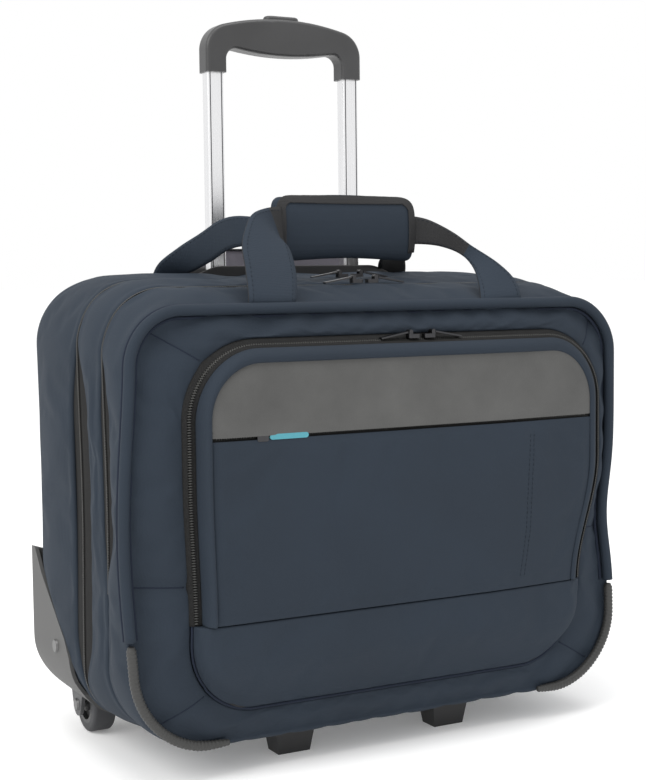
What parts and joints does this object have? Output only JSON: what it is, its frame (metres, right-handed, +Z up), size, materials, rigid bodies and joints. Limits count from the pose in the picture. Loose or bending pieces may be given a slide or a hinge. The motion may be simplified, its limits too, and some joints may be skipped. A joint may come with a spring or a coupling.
{
  "type": "rolling laptop case",
  "caption": "Soft rolling laptop case with rounded corners, three zipped compartments, a front pocket, carry handle, telescopic trolley handle, corner guards and wheels.",
  "frame": {"origin": "on the floor, under the middle of the bounding box", "axes": "+X to the viewer's right when facing the front pocket, +Y to the back, +Z up"},
  "size_m": [0.4332, 0.246, 0.586],
  "materials": {
    "navy_fabric": "woven polyester, matt with a faint sheen",
    "navy_strap": "woven polyester strap, black lining inside",
    "black_fabric": "black lining and binding fabric",
    "grey_lining": "grey lining fabric",
    "zip_tape": "ribbed zip tape with coil",
    "leatherette": "dark grey leatherette, satin",
    "grey_plastic": "grained moulded plastic",
    "black_plastic": "moulded plastic",
    "rubber_bumper": "ribbed soft bumper",
    "tyre": "soft wheel tyre",
    "aluminium_tube": "bright anodised",
    "steel": "zinc-plated steel",
    "gunmetal": "dark plated zinc",
    "board": "polyethylene board",
    "teal_cord": "teal cord pull"
  },
  "bodies": {
    "case": {"rear_shell": "navy_fabric", "main_zip_tape": "zip_tape", "back_board": "board", "well_tray": "black_plastic", "well_lip": "black_fabric", "rear_panel": "navy_fabric", "corner_guard_left": "grey_plastic", "corner_guard_right": "grey_plastic", "guard_screws": "steel", "wheel_housings": "black_plastic", "axles": "steel", "outer_tubes": "aluminium_tube", "outer_collars": "black_plastic", "tube_bracket": "black_plastic"},
    "wheel_left": {"wheel_tyre_left": "tyre", "wheel_hub_left": "grey_plastic"},
    "wheel_right": {"wheel_tyre_right": "tyre", "wheel_hub_right": "grey_plastic"},
    "middle_stage": {"middle_tubes": "aluminium_tube", "middle_collars": "black_plastic"},
    "grip_stage": {"inner_tubes": "aluminium_tube", "lock_plugs": "black_plastic", "grip_upper_shell": "grey_plastic", "grip_lower_shell": "grey_plastic", "button_spring": "steel"},
    "button": {"release_button": "grey_plastic", "release_bar": "steel"},
    "middle": {"middle_shell": "navy_fabric", "lid_zip_tape": "zip_tape", "front_base": "navy_fabric", "lower_band": "navy_fabric", "corner_bumpers": "rubber_bumper", "feet": "grey_plastic", "foot_screws": "steel", "laptop_divider": "grey_lining", "laptop_strap": "black_fabric"},
    "lid": {"lid_shell": "navy_fabric", "organiser_panel": "grey_lining", "front_piping": "navy_fabric", "pocket_frame": "navy_fabric"},
    "pocket": {"pocket_flap": "navy_fabric", "pocket_zip_tape": "zip_tape", "leatherette_panel": "leatherette"},
    "front_handle": {"front_strap": "navy_strap", "grip_wrap": "navy_fabric"},
    "rear_handle": {"rear_strap": "navy_strap"},
    "main_zip_left_slider": {"main_zip_left_slider": "gunmetal"},
    "main_zip_left_pull": {"main_zip_left_pull": "gunmetal"},
    "main_zip_right_slider": {"main_zip_right_slider": "gunmetal"},
    "main_zip_right_pull": {"main_zip_right_pull": "gunmetal"},
    "lid_zip_left_slider": {"lid_zip_left_slider": "gunmetal"},
    "lid_zip_left_pull": {"lid_zip_left_pull": "gunmetal"},
    "lid_zip_right_slider": {"lid_zip_right_slider": "gunmetal"},
    "lid_zip_right_pull": {"lid_zip_right_pull": "gunmetal"},
    "pocket_zip_left_slider": {"pocket_zip_left_slider": "gunmetal"},
    "pocket_zip_left_pull": {"pocket_zip_left_pull": "gunmetal"},
    "pocket_zip_right_slider": {"pocket_zip_right_slider": "gunmetal"},
    "pocket_zip_right_pull": {"pocket_zip_right_pull": "gunmetal"},
    "slot_zip_slider": {"slot_zip_slider": "gunmetal"},
    "slot_zip_pull": {"slot_zip_pull": "teal_cord"}
  },
  "joints": [
    {"name": "wheel_left_spin", "type": "hinge", "parent": "case", "child": "wheel_left", "pos_m": [-0.183, 0.063, 0.023], "axis": [1, 0, 0], "continuous": true},
    {"name": "wheel_right_spin", "type": "hinge", "parent": "case", "child": "wheel_right", "pos_m": [0.183, 0.063, 0.023], "axis": [1, 0, 0], "continuous": true},
    {"name": "middle_stage_slide", "type": "slide", "parent": "case", "child": "middle_stage", "axis": [0, 0, 1], "range_m": [0, 0.256]},
    {"name": "grip_stage_slide", "type": "slide", "parent": "middle_stage", "child": "grip_stage", "axis": [0, 0, 1], "range_m": [-0.185, 0.07]},
    {"name": "button_press", "type": "slide", "parent": "grip_stage", "child": "button", "axis": [0, 0, -1], "range_m": [0, 0.003], "stiffness_N_per_m": 900, "springref_m": -0.002, "deforming": ["button_spring"]},
    {"name": "main_zip_hinge", "type": "hinge", "parent": "case", "child": "middle", "pos_m": [0, 0.005, 0.024], "axis": [1, 0, 0], "range_deg": [0, 90]},
    {"name": "lid_hinge", "type": "hinge", "parent": "middle", "child": "lid", "pos_m": [0, -0.123, 0.1175], "axis": [1, 0, 0], "range_deg": [0, 50]},
    {"name": "pocket_hinge", "type": "hinge", "parent": "lid", "child": "pocket", "pos_m": [0, -0.123, 0.1175], "axis": [1, 0, 0], "range_deg": [0, 60]},
    {"name": "front_strap_fold", "type": "hinge", "parent": "lid", "child": "front_handle", "pos_m": [0, -0.098, 0.3495], "axis": [1, 0, 0], "range_deg": [0, 150]},
    {"name": "rear_strap_fold", "type": "hinge", "parent": "case", "child": "rear_handle", "pos_m": [0, 0.073, 0.367], "axis": [-1, 0, 0], "range_deg": [0, 50]},
    {"name": "main_zip_left_run", "type": "slide", "parent": "case", "child": "main_zip_left_slider", "axis": [1, 0, 0], "range_m": [-0.15, 0]},
    {"name": "main_zip_left_pull_lift", "type": "hinge", "parent": "main_zip_left_slider", "child": "main_zip_left_pull", "pos_m": [0.017, 0.009, 0.3695], "axis": [0, 1, 0], "range_deg": [0, 115]},
    {"name": "main_zip_right_run", "type": "slide", "parent": "case", "child": "main_zip_right_slider", "axis": [1, 0, 0], "range_m": [0, 0.12]},
    {"name": "main_zip_right_pull_lift", "type": "hinge", "parent": "main_zip_right_slider", "child": "main_zip_right_pull", "pos_m": [0.037, 0.009, 0.3695], "axis": [0, -1, 0], "range_deg": [0, 115]},
    {"name": "lid_zip_left_run", "type": "slide", "parent": "middle", "child": "lid_zip_left_slider", "axis": [1, 0, 0], "range_m": [-0.15, 0]},
    {"name": "lid_zip_left_pull_lift", "type": "hinge", "parent": "lid_zip_left_slider", "child": "lid_zip_left_pull", "pos_m": [-0.001, -0.047, 0.3651], "axis": [0, 1, 0], "range_deg": [0, 115]},
    {"name": "lid_zip_right_run", "type": "slide", "parent": "middle", "child": "lid_zip_right_slider", "axis": [1, 0, 0], "range_m": [0, 0.13]},
    {"name": "lid_zip_right_pull_lift", "type": "hinge", "parent": "lid_zip_right_slider", "child": "lid_zip_right_pull", "pos_m": [0.019, -0.047, 0.3651], "axis": [0, -1, 0], "range_deg": [0, 115]},
    {"name": "pocket_zip_left_run", "type": "slide", "parent": "pocket", "child": "pocket_zip_left_slider", "axis": [1, 0, 0], "range_m": [-0.12, 0]},
    {"name": "pocket_zip_left_pull_lift", "type": "hinge", "parent": "pocket_zip_left_slider", "child": "pocket_zip_left_pull", "pos_m": [0.011, -0.1122, 0.3233], "axis": [0, 1, 0], "range_deg": [0, 115]},
    {"name": "pocket_zip_right_run", "type": "slide", "parent": "pocket", "child": "pocket_zip_right_slider", "axis": [1, 0, 0], "range_m": [0, 0.1]},
    {"name": "pocket_zip_right_pull_lift", "type": "hinge", "parent": "pocket_zip_right_slider", "child": "pocket_zip_right_pull", "pos_m": [0.031, -0.1122, 0.3233], "axis": [0, -1, 0], "range_deg": [0, 115]},
    {"name": "slot_zip_run", "type": "slide", "parent": "pocket", "child": "slot_zip_slider", "axis": [1, 0, 0], "range_m": [0, 0.22]},
    {"name": "slot_zip_pull_lift", "type": "hinge", "parent": "slot_zip_slider", "child": "slot_zip_pull", "pos_m": [-0.113, -0.1222, 0.2515], "axis": [0, 0, 1], "range_deg": [-80, 0]}
  ]
}
